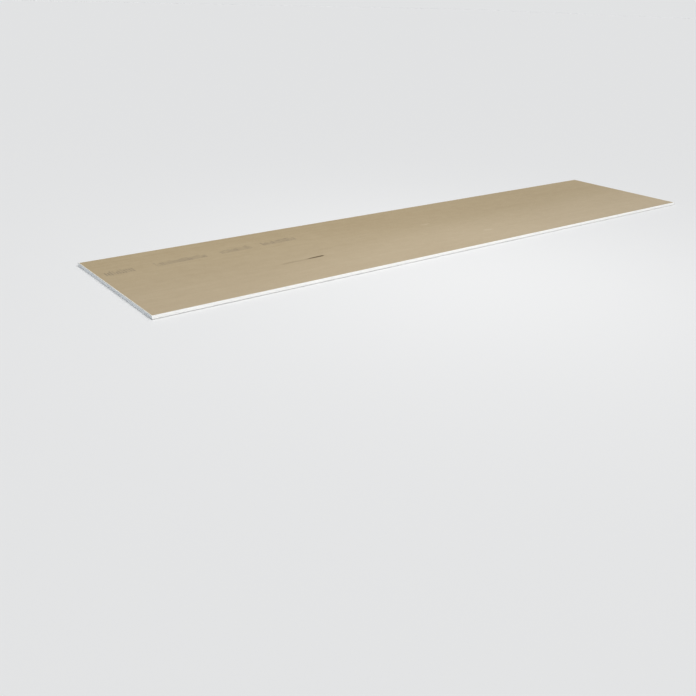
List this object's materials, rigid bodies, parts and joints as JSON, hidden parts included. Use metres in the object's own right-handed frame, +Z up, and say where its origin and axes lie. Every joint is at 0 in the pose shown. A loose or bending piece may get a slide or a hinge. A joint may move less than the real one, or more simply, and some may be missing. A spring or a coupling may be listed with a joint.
{
  "type": "drywall sheet",
  "caption": "Flat rectangular gypsum board faced with paper, with tapered long edges and square-cut ends, for lining walls and ceilings.",
  "frame": {"origin": "centre of the sheet's outline at the level of the floor it lies on, face side down", "axes": "+X along the length, +Y across the width, +Z up out of the back of the sheet"},
  "size_m": [2.7, 0.6, 0.0125],
  "materials": {
    "back_paper": "matt unbleached paper with a faint sheen",
    "face_paper": "smooth matt off-white paper, folded round the long edges",
    "gypsum_core": "dry chalky plaster, finely porous and streaked where it is cut"
  },
  "bodies": {
    "root": {"drywall_sheet": "back_paper"}
  },
  "joints": []
}
